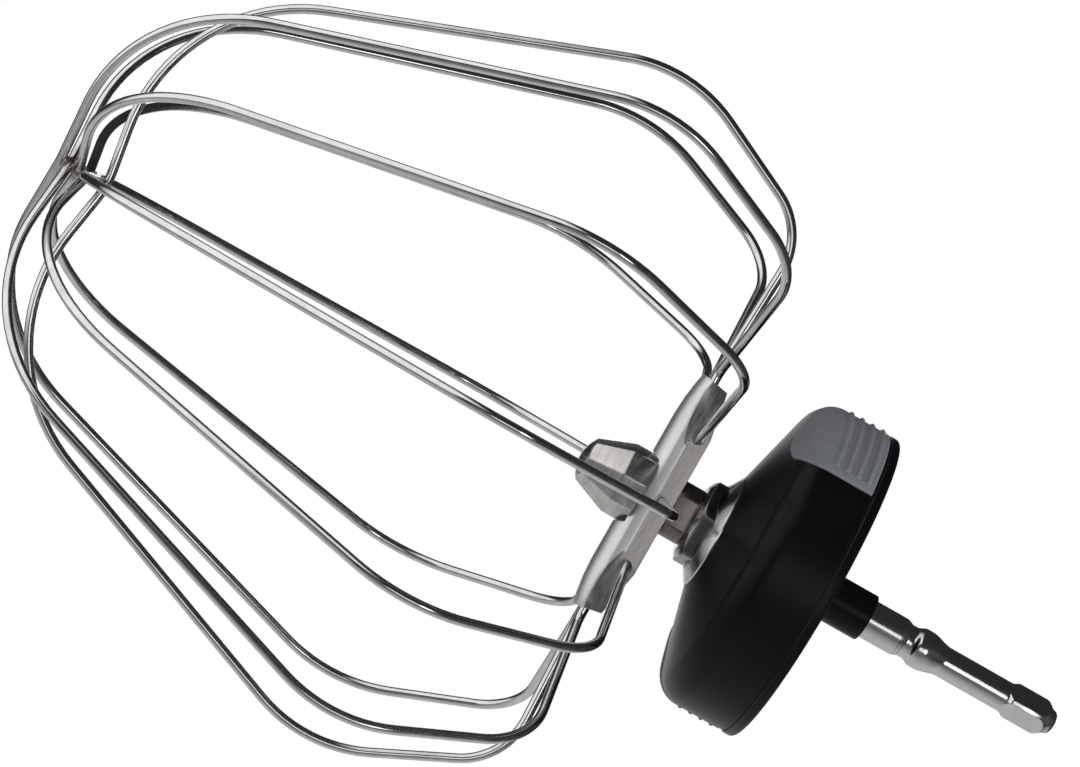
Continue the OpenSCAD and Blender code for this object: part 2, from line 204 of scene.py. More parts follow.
def apply(piece, kind, **settings):
    only(piece)
    change = piece.modifiers.new("change", kind)
    for key, value in settings.items():
        setattr(change, key, value)
    bpy.ops.object.modifier_apply(modifier="change")


def combine(piece, tool, operation="DIFFERENCE"):
    apply(piece, "BOOLEAN", operation=operation, object=tool, solver="EXACT")
    bpy.data.objects.remove(tool)


def soften(piece, width, angle=30, segments=2):
    apply(piece, "BEVEL", width=width * MM, segments=segments, limit_method="ANGLE",
          angle_limit=radians(angle), use_clamp_overlap=True)


def trim(piece, spot, way):
    """Cuts off all that lies beyond a plane, and closes the cut."""
    edit(piece)
    bpy.ops.mesh.bisect(plane_co=spot, plane_no=way, clear_outer=True, use_fill=True)
    leave()


def turn_piece(piece, angle, lean=0, place=(0, 0, 0)):
    piece.rotation_euler = (0, lean, angle)
    piece.location = place
    only(piece)
    bpy.ops.object.transform_apply(location=True, rotation=True, scale=True)


def copy_of(piece, name):
    twin = piece.copy()
    twin.data = piece.data.copy()
    twin.name = twin.data.name = name
    bpy.context.collection.objects.link(twin)
    return twin


def finish(piece, node, material, smooth=35):
    """Smooth shading, material, and the place of the piece in the frame."""
    only(piece)
    bpy.ops.object.shade_smooth_by_angle(angle=radians(smooth))
    piece.data.materials.clear()
    piece.data.materials.append(material)
    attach(piece, "root")
    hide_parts(node)


def arc(centre_r, centre_h, radius, start, stop, steps):
    """Stations along an arc, from the angle start to the angle stop."""
    angles = [start + (stop - start) * i / steps for i in range(steps + 1)]
    return [(centre_r + radius * cos(a), centre_h + radius * sin(a)) for a in angles]


def ease(start, stop, steps=10):
    """Stations along a smooth S from one (radius, height) to another."""
    shares = [(i / steps, (1 - cos(pi * i / steps)) / 2) for i in range(steps + 1)]
    return [(start[0] + (stop[0] - start[0]) * s, start[1] + (stop[1] - start[1]) * t)
            for t, s in shares]


# Materials

def make(tree, kind, inputs=None, **settings):
    """A new node. Each input named is linked to a socket, or set to a value."""
    made = tree.nodes.new("ShaderNode" + kind)
    for key, value in settings.items():
        setattr(made, key, value)
    for key, value in (inputs or {}).items():
        if isinstance(value, bpy.types.NodeSocket):
            tree.links.new(value, made.inputs[key])
        else:
            made.inputs[key].default_value = value
    return made


def calc(tree, operation, *terms):
    return make(tree, "Math", dict(enumerate(terms)), operation=operation).outputs["Value"]


def measure(tree, operation, *terms):
    """A vector sum whose result is a number."""
    return make(tree, "VectorMath", dict(enumerate(terms)), operation=operation).outputs["Value"]


def axis_distance(tree, place):
    """How far a place lies from the shank's axis."""
    beside = make(tree, "VectorMath", {0: place, 1: (1, 1, 0)}, operation="MULTIPLY")
    return measure(tree, "LENGTH", beside.outputs["Vector"])


def noise(tree, place, scale, detail=3, rough=0.55, stretch=(1, 1, 1)):
    """Noise in the object's own coordinates, stretched along an axis for grain."""
    spread = make(tree, "Mapping", {"Vector": place, "Scale": stretch}).outputs["Vector"]
    return make(tree, "TexNoise", {"Vector": spread, "Scale": scale, "Detail": detail,
                                   "Roughness": rough}).outputs["Fac"]


def spread_over(tree, source, low, high, start=0.3, stop=0.7):
    """Goes from low to high as the source goes from start to stop."""
    return make(tree, "MapRange", {"Value": source, "From Min": start, "From Max": stop,
                                   "To Min": low, "To Max": high}).outputs["Result"]


def blend(tree, share, first, second, kind="RGBA"):
    return make(tree, "Mix", {"Factor": share, "A": first, "B": second},
                data_type=kind).outputs["Result"]


def worn_edges(tree, radius):
    """1 along sharp edges and 0 on the faces between them."""
    plain = make(tree, "NewGeometry").outputs["Normal"]
    rounded = make(tree, "Bevel", {"Radius": radius * MM}, samples=4).outputs["Normal"]
    return spread_over(tree, measure(tree, "DOT_PRODUCT", plain, rounded), 1, 0, 0.86, 0.995)


def shade(colour, factor):
    return tuple(min(1, factor * c) for c in colour[:3]) + (1,)


def start_material(name):
    material = bpy.data.materials.new(name)
    material.use_nodes = True
    tree = material.node_tree
    place = make(tree, "TexCoord").outputs["Object"]
    return material, tree, tree.nodes["Principled BSDF"], place


def dress(tree, shader, colour, rough, relief, strength, depth):
    """Gives a shader its colour, its roughness and a fine relief, so many millimetres deep."""
    bumps = make(tree, "Bump", {"Height": relief, "Strength": strength, "Distance": depth * MM})
    tree.links.new(colour, shader.inputs["Base Color"])
    tree.links.new(rough, shader.inputs["Roughness"])
    tree.links.new(bumps.outputs["Normal"], shader.inputs["Normal"])


SMUDGED, RUBBED = 0.6, 1.12
BURNT_STRAW, BURNT_BROWN = (0.30, 0.19, 0.10, 1), (0.12, 0.09, 0.09, 1)
# Painted shade for the nut's hexagon: its darker colour, and the radii and heights where it fades
# in
NUT_PAINTED_SHADE = (0.17, 0.165, 0.165, 1)
HEX_SHADE_EDGE, HEX_SHADE_FOOT = (10.8, 11.6), (0.6, 1.4)


def steel(name, dark, light, rough, grain, grain_scale, bump, stain=0.25, edge=0.25, tint=None):
    """Bare steel: fine grain stretched one way, cloudy handling marks, brighter worn edges."""
    material, tree, shader, place = start_material(name)
    fine = noise(tree, place, grain_scale, detail=4, rough=0.6, stretch=grain)
    cloud = noise(tree, place, scale=90, detail=4)
    colour = blend(tree, spread_over(tree, fine, 0, 1), dark, light)
    smudge = spread_over(tree, cloud, 0, stain, 0.45, 0.75)
    colour = blend(tree, smudge, colour, shade(dark, SMUDGED))
    colour = blend(tree, worn_edges(tree, edge), colour, shade(light, RUBBED))
    # A tint adds heat colours near the weld, or, on the nut, painted shade on its hexagon
    if tint:
        colour = tint(tree, place, colour)
    low, high = rough
    marks = spread_over(tree, cloud, 0, (high - low) * 1.2 + 0.03, 0.4, 0.8)
    total = calc(tree, "ADD", spread_over(tree, fine, low, high), marks)
    shader.inputs["Metallic"].default_value = 1
    dress(tree, shader, colour, total, fine, strength=bump, depth=0.02)
    return material


def heat_tint(centre, reach):
    """Straw and brown colours that fade away from a weld."""
    def tint(tree, place, colour):
        away = measure(tree, "DISTANCE", place, centre)
        patch = noise(tree, place, scale=420, detail=3)
        near = spread_over(tree, away, 1, 0, reach * 0.25 * MM, reach * MM)
        share = calc(tree, "MULTIPLY", near, spread_over(tree, patch, 0.25, 1))
        burnt = blend(tree, spread_over(tree, patch, 0, 1, 0.4, 0.6), BURNT_STRAW, BURNT_BROWN)
        return blend(tree, share, colour, burnt)
    return tint


def hex_painted_shade(tree, place, colour):
    """Painted shade darkens the nut's hexagon, for the dark its faces reflect; the flange stays
    bright steel.
    """
    height = make(tree, "SeparateXYZ", {"Vector": place}).outputs["Z"]
    foot, clear = (at(0, 0, HUB_TOP + rise).z for rise in HEX_SHADE_FOOT)
    inner = spread_over(tree, axis_distance(tree, place), 1, 0, *(r * MM for r in HEX_SHADE_EDGE))
    share = calc(tree, "MULTIPLY", inner, spread_over(tree, height, 0, 1, foot, clear))
    return blend(tree, share, colour, NUT_PAINTED_SHADE)


CROSSING = at(0, 0, -APEX_DROP - (len(LOOP_TURNS) - 1) / 2 * LEVEL_PITCH)

wire_steel = steel(
    "polished_spring_wire", dark=(0.68, 0.68, 0.69, 1), light=(0.84, 0.84, 0.85, 1),
    rough=(0.05, 0.09), grain=(1, 1, 1), grain_scale=260, bump=0.03, stain=0.25, edge=0.05,
    tint=heat_tint(CROSSING, reach=8))
weld_steel = steel(
    "heat_tinted_weld", dark=(0.30, 0.26, 0.22, 1), light=(0.62, 0.58, 0.54, 1),
    rough=(0.22, 0.4), grain=(1, 1, 1), grain_scale=900, bump=0.5,
    tint=heat_tint(CROSSING, reach=9))
cap_steel = steel(
    "brushed_fittings", dark=(0.56, 0.54, 0.52, 1), light=(0.76, 0.74, 0.72, 1),
    rough=(0.17, 0.24), grain=(1, 1, 6), grain_scale=160, bump=0.06, stain=0.12, edge=0.4)
hub_steel = steel(
    "dull_hub_steel", dark=(0.13, 0.115, 0.105, 1), light=(0.26, 0.24, 0.22, 1),
    rough=(0.24, 0.36), grain=(1, 1, 7), grain_scale=320, bump=0.15, edge=0.4)
# The nut's hexagon carries painted shade, a darker colour for the dark its faces reflect
nut_steel = steel(
    "bright_nut_steel", dark=(0.54, 0.53, 0.52, 1), light=(0.80, 0.80, 0.79, 1),
    rough=(0.12, 0.20), grain=(1, 1, 8), grain_scale=300, bump=0.15, stain=0.15, edge=0.35,
    tint=hex_painted_shade)
shank_steel = steel(
    "turned_shank_steel", dark=(0.66, 0.66, 0.67, 1), light=(0.80, 0.80, 0.81, 1),
    rough=(0.07, 0.13), grain=(1, 1, 14), grain_scale=420, bump=0.12, edge=0.3)

BLACK, BLACK_BLOOM = (0.0022, 0.0022, 0.0025, 1), (0.0042, 0.0042, 0.0048, 1)
BLACK_RUBBED = (0.016, 0.016, 0.018, 1)
COLLAR_GLOSS, SHELL_SATIN, GLOSS_WITHIN = 0.2, 0.30, (7.5, 9)


def shield_plastic():
    """Black satin plastic with a fine moulded grain, paler where its edges are rubbed. The
    collar, which the tool polishes, is glossier."""
    material, tree, shader, place = start_material("black_satin_plastic")
    grain = noise(tree, place, scale=2600, detail=2)
    cloud = noise(tree, place, scale=45, detail=4)
    colour = blend(tree, spread_over(tree, cloud, 0, 1), BLACK, BLACK_BLOOM)
    colour = blend(tree, worn_edges(tree, radius=0.4), colour, BLACK_RUBBED)
    satin = spread_over(tree, axis_distance(tree, place), COLLAR_GLOSS, SHELL_SATIN,
                        *(r * MM for r in GLOSS_WITHIN))
    rough = calc(tree, "ADD", satin, spread_over(tree, grain, 0, 0.06))
    shader.inputs["Specular IOR Level"].default_value = 0.15
    dress(tree, shader, colour, rough, grain, strength=0.12, depth=0.03)
    return material


RUBBER, RUBBER_SPECK = (0.150, 0.158, 0.176, 1), (0.185, 0.194, 0.214, 1)
RUBBER_BLOOM, RUBBER_RUBBED = (0.130, 0.138, 0.156, 1), (0.27, 0.28, 0.30, 1)


def pad_rubber():
    """Grey moulded rubber: matt, finely speckled, a little paler along the ribs' edges."""
    material, tree, shader, place = start_material("grey_grip_rubber")
    speck = noise(tree, place, scale=1500, detail=3)
    cloud = noise(tree, place, scale=80, detail=4)
    colour = blend(tree, spread_over(tree, speck, 0, 1), RUBBER, RUBBER_SPECK)
    colour = blend(tree, spread_over(tree, cloud, 0, 0.5), colour, RUBBER_BLOOM)
    colour = blend(tree, worn_edges(tree, radius=0.5), colour, RUBBER_RUBBED)
    shader.inputs["Specular IOR Level"].default_value = 0.3
    rough = spread_over(tree, speck, 0.55, 0.72)
    dress(tree, shader, colour, rough, speck, strength=0.2, depth=0.03)
    return material


SATIN_PALE, SATIN_DULL = (0.86, 0.87, 0.89, 1), (0.74, 0.75, 0.77, 1)
# The milled flats' colours are dark partly from the milling and partly as painted shade
CUT_SHADED_DARK, CUT_SHADED_STREAK = (0.24, 0.225, 0.215, 1), (0.40, 0.38, 0.365, 1)
CUT_SPECK, BAR_RUBBED = (0.58, 0.56, 0.54, 1), (0.86, 0.86, 0.87, 1)


def taper_way(side, flank):
    """Square to the flat that is milled off one corner of the bar's plan."""
    fall = (BAR_W - BAR_TAPER_END_W) / 2 / (BAR_L / 2 - BAR_TAPER_FROM)
    return Vector((side * fall, flank, 0)).normalized()


def milled_parts(tree, place):
    """1 on the bar's milled sides and on the flats of its corners, 0 on its rounded side."""
    height = make(tree, "SeparateXYZ", {"Vector": place}).outputs["Z"]
    line = at(0, 0, BAR_FLAT).z
    sides = spread_over(tree, height, 0, 1, line - 0.02 * MM, line + 0.02 * MM)
    corner = make(tree, "VectorMath", {0: place}, operation="ABSOLUTE").outputs["Vector"]
    beyond = measure(tree, "DOT_PRODUCT", corner, taper_way(1, 1))
    taper = taper_way(1, 1).dot(at(BAR_TAPER_FROM, BAR_W / 2, 0) * Vector((1, 1, 0)))
    flats = spread_over(tree, beyond, 0, 1, taper - 0.06 * MM, taper - 0.02 * MM)
    along = make(tree, "SeparateXYZ", {"Vector": corner}).outputs["X"]
    far = spread_over(tree, along, 0, 1, BAR_TAPER_FROM * MM, (BAR_TAPER_FROM + 0.5) * MM)
    return calc(tree, "MAXIMUM", sides, calc(tree, "MULTIPLY", flats, far))


def bar_finish_and_shade():
    """The bar's rounded side is blasted to a pale satin. Its flats are milled and streaked along
    the bar;
    their dark colour is partly their milled finish and partly painted shade."""
    material, tree, shader, place = start_material("satin_and_milled_bar")
    milled = milled_parts(tree, place)
    cloud = noise(tree, place, scale=110, detail=4)
    speck = noise(tree, place, scale=2400, detail=2)
    streak = noise(tree, place, scale=260, detail=4, rough=0.6, stretch=(1, 9, 9))
    satin = blend(tree, spread_over(tree, cloud, 0, 1), SATIN_PALE, SATIN_DULL)
    # The milled colour: streaked milled finish, made darker as painted shade
    cut = blend(tree, spread_over(tree, streak, 0, 1), CUT_SHADED_DARK, CUT_SHADED_STREAK)
    cut = blend(tree, spread_over(tree, speck, 0, 0.35, 0.5, 0.8), cut, CUT_SPECK)
    colour = blend(tree, milled, satin, cut)
    colour = blend(tree, worn_edges(tree, radius=0.3), colour, BAR_RUBBED)
    rough = blend(tree, milled, spread_over(tree, speck, 0.38, 0.46),
                  spread_over(tree, streak, 0.26, 0.36), "FLOAT")
    shader.inputs["Metallic"].default_value = 1
    relief = calc(tree, "ADD", speck, streak)
    dress(tree, shader, colour, rough, relief, strength=0.18, depth=0.02)
    return material


# Wire loops

def side_of(value):
    return 0 if abs(value) < 0.001 else (1 if value > 0 else -1)


def in_line(angle):
    return angle % 90 == 0


def at_end(angle):
    return abs(cos(radians(angle))) > 0.8


def leg_point(angle, radius, height):
    return Vector((radius * cos(radians(angle)), radius * sin(radians(angle)), height))


def hole_mouth(angle):
    """Where a wire enters the bar."""
    x, y = side_of(cos(radians(angle))), side_of(sin(radians(angle)))
    if at_end(angle):
        return Vector((x * BAR_L / 2, y * END_HOLE_PITCH, -END_HOLE_DROP))
    return Vector((x * SIDE_HOLE_X, y * BAR_W / 2, 0))


def way_out(angle):
    if in_line(angle):
        return (leg_point(angle, ROOT_R, -ROOT_DROP) - hole_mouth(angle)).normalized()
    if at_end(angle):
        return Vector((side_of(cos(radians(angle))), 0, 0))
    return Vector((0, side_of(sin(radians(angle))), 0))


def seat_depth(angle):
    return END_SEAT if at_end(angle) else (MIDDLE_SEAT if in_line(angle) else SIDE_SEAT)


def half_loop(angle, level):
    """Corners and bend radii of one leg, from its seat in the bar to the shoulder."""
    start, way = hole_mouth(angle), way_out(angle)
    corners = [(start - way * seat_depth(angle), 0)]
    if not in_line(angle):
        corners.append((start + way * NECK_OUT, NECK_BEND))
    apex = apex_height(level)
    return corners + [(leg_point(angle, ROOT_R, -ROOT_DROP), ROOT_BEND),
                      (leg_point(angle, BELLY_R, -BELLY_DROP), BELLY_BEND),
                      (leg_point(angle, SHOULDER_R, apex - dip(level)), SHOULDER_BEND)]


def dip(level):
    return DIMPLE - level * DIMPLE_STEP


def apex_height(level):
    cut = APEX_BEND * (1 / cos(atan(dip(level) / SHOULDER_R)) - 1)
    return cut - APEX_DROP - level * LEVEL_PITCH


def loop_corners(level):
    angle = LOOP_TURNS[level]
    apex = (Vector((0, 0, apex_height(level))), APEX_BEND)
    return half_loop(angle, level) + [apex] + half_loop(angle + 180, level)[::-1]


def bend_wire(name, corners):
    """Draws a ring straight to each corner's bend and spins it round the bend."""
    places = [at(*corner) for corner, radius in corners]
    ways = [(b - a).normalized() for a, b in zip(places, places[1:])]
    wire = ring(name, WIRE_D / 2, places[0], ways[0], WIRE_POINTS)
    edit(wire)
    here = places[0]
    for i, (way, onward) in enumerate(zip(ways, ways[1:]), 1):
        radius = corners[i][1]
        angle = acos(min(1, way.dot(onward)))
        setback = radius * MM * tan(angle / 2)
        bend_start = places[i] - way * setback
        extrude(bend_start - here)
        inward = (onward - way * way.dot(onward)).normalized()
        centre = bend_start + inward * radius * MM
        bpy.ops.mesh.spin(steps=max(2, round(angle / BEND_STEP)), angle=-angle,
                          center=centre, axis=way.cross(inward))
        here = places[i] + onward * setback
    extrude(places[-1] - here)
    leave()
    tidy(wire)
    return wire


for level in range(len(LOOP_TURNS)):
    loop = bend_wire(f"wire_loop_{level + 1}", loop_corners(level))
    finish(loop, f"wire_{level + 1}", wire_steel, smooth=60)


# Welds between the crossing wires

def weld_beads():
    """A small lumpy bead in each gap between two crossing wires, joined as one run."""
    beads = []
    for level, (turn, next_turn) in enumerate(zip(LOOP_TURNS, LOOP_TURNS[1:])):
        height = -APEX_DROP - (level + 0.5) * LEVEL_PITCH
        half = radians(turn + next_turn) / 2
        if abs(turn - next_turn) > 90:
            half += pi / 2
        bpy.ops.object.select_all(action="DESELECT")
        bpy.ops.mesh.primitive_ico_sphere_add(subdivisions=4, radius=BEAD_BALL * MM,
                                              location=at(0, 0, height), rotation=(0, 0, half))
        bead = new_piece(f"bead_{level}")
        edit(bead)
        bpy.ops.transform.resize(value=BEAD_SQUASH, center_override=at(0, 0, height))
        leave()
        beads.append(bead)
    weld = beads[0]
    for bead in beads[1:]:
        combine(weld, bead, "UNION")
    lumps = bpy.data.textures.new("weld_lumps", "CLOUDS")
    lumps.noise_scale = LUMP_SPAN * MM
    apply(weld, "DISPLACE", texture=lumps, strength=LUMP_HEIGHT * MM, mid_level=LUMP_LEVEL,
          texture_coords="LOCAL")
    weld.name = weld.data.name = "crossing_weld"
    return weld


finish(weld_beads(), "tip_weld", weld_steel, smooth=80)


# Cross bar

def bar_stock():
    """Half of the bar's plan, narrowed towards the ends, is spun half way round the bar's long
    axis. Each section is then flattened to its depth."""
    reach = BAR_ENDS[-1][0]
    bpy.ops.object.select_all(action="DESELECT")
    bpy.ops.mesh.primitive_plane_add(size=1, location=at(0, BAR_W / 4, BAR_FLAT))
    bpy.context.object.scale = (2 * reach * MM, BAR_W / 2 * MM, 1)
    bar = new_piece("cross_bar_body")
    for x, *_ in BAR_ENDS[:-1]:
        for side in (-1, 1):
            edit(bar)
            bpy.ops.mesh.bisect(plane_co=at(side * x, 0, BAR_FLAT), plane_no=(1, 0, 0))
            leave()
    for x, half_width, depth in BAR_ENDS:
        edit(bar)
        pick(bar, "verts", lambda v: abs(abs(v.co.x) - x * MM) < CLOSE and v.co.y > 10 * CLOSE)
        bpy.ops.transform.translate(value=(0, (half_width - BAR_W / 2) * MM, 0))
        leave()
    edit(bar)
    bpy.ops.mesh.spin(steps=24, angle=pi, center=at(0, 0, BAR_FLAT), axis=(1, 0, 0))
    bpy.ops.mesh.select_all(action="SELECT")
    bpy.ops.mesh.remove_doubles(threshold=MERGE)
    bpy.ops.mesh.dissolve_degenerate(threshold=CLOSE)
    for x, half_width, depth in BAR_ENDS:
        pick(bar, "verts", lambda v: abs(abs(v.co.x) - x * MM) < CLOSE)
        bpy.ops.transform.resize(value=(1, 1, depth / half_width),
                                 center_override=at(0, 0, BAR_FLAT))
    leave()
    return bar


def bar_blank():
    """The flat faces of the stock are stepped in and raised to make the milled sides. The ends
    are then cut a little askew, the crown is tapered and the corners are milled off."""
    bar = bar_stock()
    flat = at(0, 0, BAR_FLAT).z
    step = 0.01
    edit(bar)
    pick(bar, "faces", lambda f: all(abs(v.co.z - flat) < CLOSE for v in f.verts))
    extrude((0, 0, step * MM))
    bpy.ops.transform.resize(value=(1, 1 - 2 * FLAT_STEP / BAR_W, 1), center_override=(0, 0, 0))
    extrude((0, 0, (BAR_SIDE_H - step) * MM))
    leave()
    tidy(bar)
    for side in (-1, 1):
        trim(bar, at(side * BAR_L / 2, 0, -END_HOLE_DROP),
             (side * cos(BAR_END_SLANT), 0, sin(BAR_END_SLANT)))
        trim(bar, at(side * BAR_TOP_FULL, 0, BAR_TOP),
             (side * sin(BAR_TOP_SLANT), 0, cos(BAR_TOP_SLANT)))
        for flank in (-1, 1):
            trim(bar, at(side * BAR_TAPER_FROM, flank * BAR_W / 2, 0), taper_way(side, flank))
    return bar


def hole_cutter(angle):
    """A drill with a small countersink, seated where one wire enters the bar."""
    mouth, way = at(*hole_mouth(angle)), way_out(angle)
    depth = seat_depth(angle) + SEAT_SPARE
    drill = ring("drill", HOLE_R, mouth - way * depth * MM, way, points=32)
    edit(drill)
    extrude(way * (depth - MOUTH_DEPTH) * MM)
    extrude(way * MOUTH_DEPTH * MM)
    flare = MOUTH_R / HOLE_R
    bpy.ops.transform.resize(value=(flare, flare, flare), center_override=mouth)
    extrude(way * DRILL_OVER * MM)
    leave()
    tidy(drill)
    return drill


def bore(piece, radius, start, stop):
    """Cuts a round hole along the axis, between two heights."""
    combine(piece, turned("bore", [(radius, start), (radius, stop)]))


def cross_bar():
    bar = bar_blank()
    soften(bar, 0.45, angle=35, segments=3)
    bore(bar, SPOT_D / 2, -SPOT_DROP - BAR_W, -SPOT_DROP)
    bore(bar, SCREW_D / 2 + SLIDE, -BAR_W, BAR_W)
    for angle in range(0, 360, 30):
        combine(bar, hole_cutter(angle))
    return bar


finish(cross_bar(), "cross_bar", bar_finish_and_shade())


# Nose cap

def nose_cap():
    """A tapered octagon, whose small end is turned to a dome."""
    nose = ring("nose_cap_body", NOSE_AF / 2 / cos(pi / 8), at(0, 0, -SPOT_DROP), points=8)
    turn_piece(nose, pi / 8 + NOSE_TURN)
    edit(nose)
    extrude((0, 0, -NOSE_PRISM_H * MM))
    extrude((0, 0, -NOSE_TAPER_H * MM))
    small = NOSE_END_AF / NOSE_AF
    bpy.ops.transform.resize(value=(small, small, 1), center_override=(0, 0, 0))
    leave()
    tidy(nose)
    soften(nose, 0.35, angle=15, segments=3)
    end = -SPOT_DROP - NOSE_PRISM_H - NOSE_TAPER_H
    dome = [(NOSE_DOME_R * sin(a), end + NOSE_DOME_R * (1 - cos(a)))
            for a in [radians(2 + 4 * i) for i in range(14)]]
    beyond = [(NOSE_AF, dome[-1][1] + 3), (NOSE_AF, 2)]
    combine(nose, turned("nose_dome", dome + beyond, points=64), "INTERSECT")
    return nose


finish(nose_cap(), "nose_cap", cap_steel, smooth=20)


# Hub boss and lock nut

def hub_boss():
    hub = turned("hub_boss_body", [(HUB_D / 2, BAR_TOP), (HUB_D / 2, HUB_TOP)], points=64)
    for side in (-1, 1):
        trim(hub, at(0, side * HUB_FLATS / 2, 0), (0, side, 0))
    soften(hub, 0.4, angle=35, segments=3)
    return hub


finish(hub_boss(), "hub_boss", hub_steel)


def lock_nut():
    """A hexagon whose corners a cone scallops at the lower end, on a conical flange."""
    corner = NUT_AF / 2 / cos(pi / 6)
    nut = ring("lock_nut_body", corner, at(0, 0, HUB_TOP), points=6)
    edit(nut)
    extrude((0, 0, (NUT_H - FLANGE_EDGE) * MM))
    leave()
    tidy(nut)
    outside = corner + NUT_SPARE
    chamfer = [(NUT_NOSE_D / 2, HUB_TOP - 0.01), (outside, HUB_TOP + NUT_CHAMFER_H + NUT_SPARE),
               (outside, NUT_TOP)]
    combine(nut, turned("nut_chamfer", chamfer, points=128), "INTERSECT")
    soften(nut, 0.22, angle=25)
    turn_piece(nut, NUT_TURN)
    edge = NUT_TOP - FLANGE_EDGE
    flange = [(NUT_AF / 2 - FLANGE_IN, HUB_TOP + NUT_HEX_H - FLANGE_SINK),
              (FLANGE_D / 2 - 0.25, edge - 0.1), (FLANGE_D / 2, edge + 0.15),
              (FLANGE_D / 2, NUT_TOP)]
    combine(nut, turned("nut_flange", flange, points=128), "UNION")
    return nut


finish(lock_nut(), "lock_nut", nut_steel, smooth=25)


# Shield

BASE_R = FLANGE_D / 2
BAND_R = SHIELD_D / 2
ROUND_R = BAND_R - DOME_ROUND
ROUND_H = NUT_TOP + (ROUND_R - BASE_R) * tan(DOME_SLOPE) + DOME_ROUND / cos(DOME_SLOPE)


def dome_side(out, steps=20):
    """Stations of the shield's face, moved outwards by out, from the nut to the band."""
    low = NUT_TOP - out / cos(DOME_SLOPE)
    return [(BASE_R, low)] + arc(ROUND_R, ROUND_H, DOME_ROUND + out, DOME_SLOPE - pi / 2, 0, steps)


def pad_band(name, outer, inner, gap=0):
    """The layer of the shield between two depths, where a pad or its recess lies."""
    top = PAD_TOP - gap
    out, back = dome_side(outer, steps=28), dome_side(inner, steps=28)
    stations = out + [(BAND_R + outer, top), (BAND_R + inner, top)] + back[::-1] + [out[0]]
    return turned(name, stations, points=192, hollow=True)


def pad_outline(gap):
    """The U-shaped outline of a pad. It is drawn flat, leaned square to the shield's shoulder
    and pushed outwards."""
    shoulder = PAD_SHOULDER * MM
    width, length = PAD_R - gap, PAD_SHOULDER - PAD_END - gap
    outline = ring("pad_outline", width, (0, 0, shoulder), way=(1, 0, 0))
    edit(outline)
    bpy.ops.transform.resize(value=(1, 1, length / width), center_override=(0, 0, shoulder))
    bpy.ops.mesh.bisect(plane_co=(0, 0, shoulder), plane_no=(0, 0, 1), clear_outer=True)
    pick(outline, "edges", lambda e: all(abs(v.co.z - shoulder) < CLOSE for v in e.verts))
    extrude((0, 0, BAND_R * MM))
    bpy.ops.mesh.select_all(action="SELECT")
    extrude((1.2 * BAND_R * MM, 0, 0))
    leave()
    tidy(outline)
    turn_piece(outline, 0, PAD_LEAN, at(0, 0, NUT_TOP))
    return outline


def shield_section():
    """The shield's section as the stations of a lathe, once round from the bore."""
    bore_r, collar_r = CORE_D / 2 + SLIDE, COLLAR_D / 2
    lip_r, inner_r = BAND_R + LIP_OUT, BAND_R - WALL
    under_lip, groove_r = RIM - LIP_H, BAND_R - LIP_GROOVE
    inside = dome_side(-WALL)
    floor = inside[0][1]
    collar_round = COLLAR_TOP - COLLAR_EDGE

    land = [(bore_r, NUT_TOP), (BASE_R - 0.35, NUT_TOP), (BASE_R - 0.1, NUT_TOP - LAND_H),
            (BASE_R + 0.25, NUT_TOP - LAND_H), (BASE_R + 0.7, NUT_TOP + 0.2)]
    groove = [(BAND_R, under_lip - 0.35), (groove_r, under_lip - 0.2),
              (groove_r, under_lip + 0.05)]
    lip = [(lip_r - 0.3, under_lip), (lip_r, under_lip + 0.3)]
    lip += arc(lip_r - LIP_ROUND, RIM - LIP_ROUND, LIP_ROUND, 0, pi / 2, 6)
    lip += [(inner_r + 0.3, RIM), (inner_r, RIM - 0.3)]
    root = [(collar_r + 1, floor + 0.02), (collar_r + 0.3, floor + 0.3), (collar_r, floor + 1)]
    collar = [(collar_r, collar_round)]
    collar += arc(collar_r - COLLAR_EDGE, collar_round, COLLAR_EDGE, 0, pi / 2, 4)
    collar += [(CORE_D / 2 + 0.3, COLLAR_TOP), (bore_r, COLLAR_TOP - 0.25), (bore_r, NUT_TOP)]
    return (land + dome_side(0)[1:] + groove + lip + [(inner_r, ROUND_H)] + inside[::-1][1:-1]
            + root + collar)


def shield():
    body = turned("shield_body", shield_section(), points=192, hollow=True)
    for side in (0, pi):
        recess = pad_band("recess", 2, -PAD_RECESS)
        combine(recess, pad_outline(0), "INTERSECT")
        turn_piece(recess, PAD_TURN + side)
        combine(body, recess)
    return body


finish(shield(), "shield", shield_plastic(), smooth=30)


# Grip pads

def rib(height):
    """A rounded bar spun round the band, with domed ends."""
    reach = BAND_R + PAD_PROUD + RIB_RISE
    first = Matrix.Rotation(-RIB_SPAN, 3, "Z")
    along = first @ Vector((0, 1, 0))
    bar = ring("rib", RIB_W / 2, first @ at(reach, 0, height), along, points=16)
    edit(bar)
    middle = at(0, 0, height)
    bpy.ops.mesh.spin(steps=24, angle=-2 * RIB_SPAN, center=middle, axis=(0, 0, 1))
    for end, sense in ((RIB_SPAN, 1), (-RIB_SPAN, -1)):
        centre = Vector((reach * cos(end), reach * sin(end), 0)) * MM
        way = Vector((-sin(end), cos(end), 0)) * sense
        pick(bar, "faces", lambda f: f.normal.dot(way) > 0.98 and len(f.verts) > 4)
        for share, shrink in RIB_DOME:
            extrude(way * share * RIB_W * MM)
            bpy.ops.transform.resize(value=(shrink, shrink, shrink),
                                     center_override=(centre.x, centre.y, middle.z))
    leave()
    tidy(bar)
    return bar


def grip_pad():
    pad = pad_band("grip_pad_body", PAD_PROUD, -PAD_RECESS + PAD_GAP / 2, PAD_GAP)
    combine(pad, pad_outline(PAD_GAP), "INTERSECT")
    soften(pad, 0.3, angle=40, segments=3)
    for i in range(RIB_COUNT):
        combine(pad, rib(PAD_TOP - RIB_FIRST - i * RIB_PITCH), "UNION")
    return pad


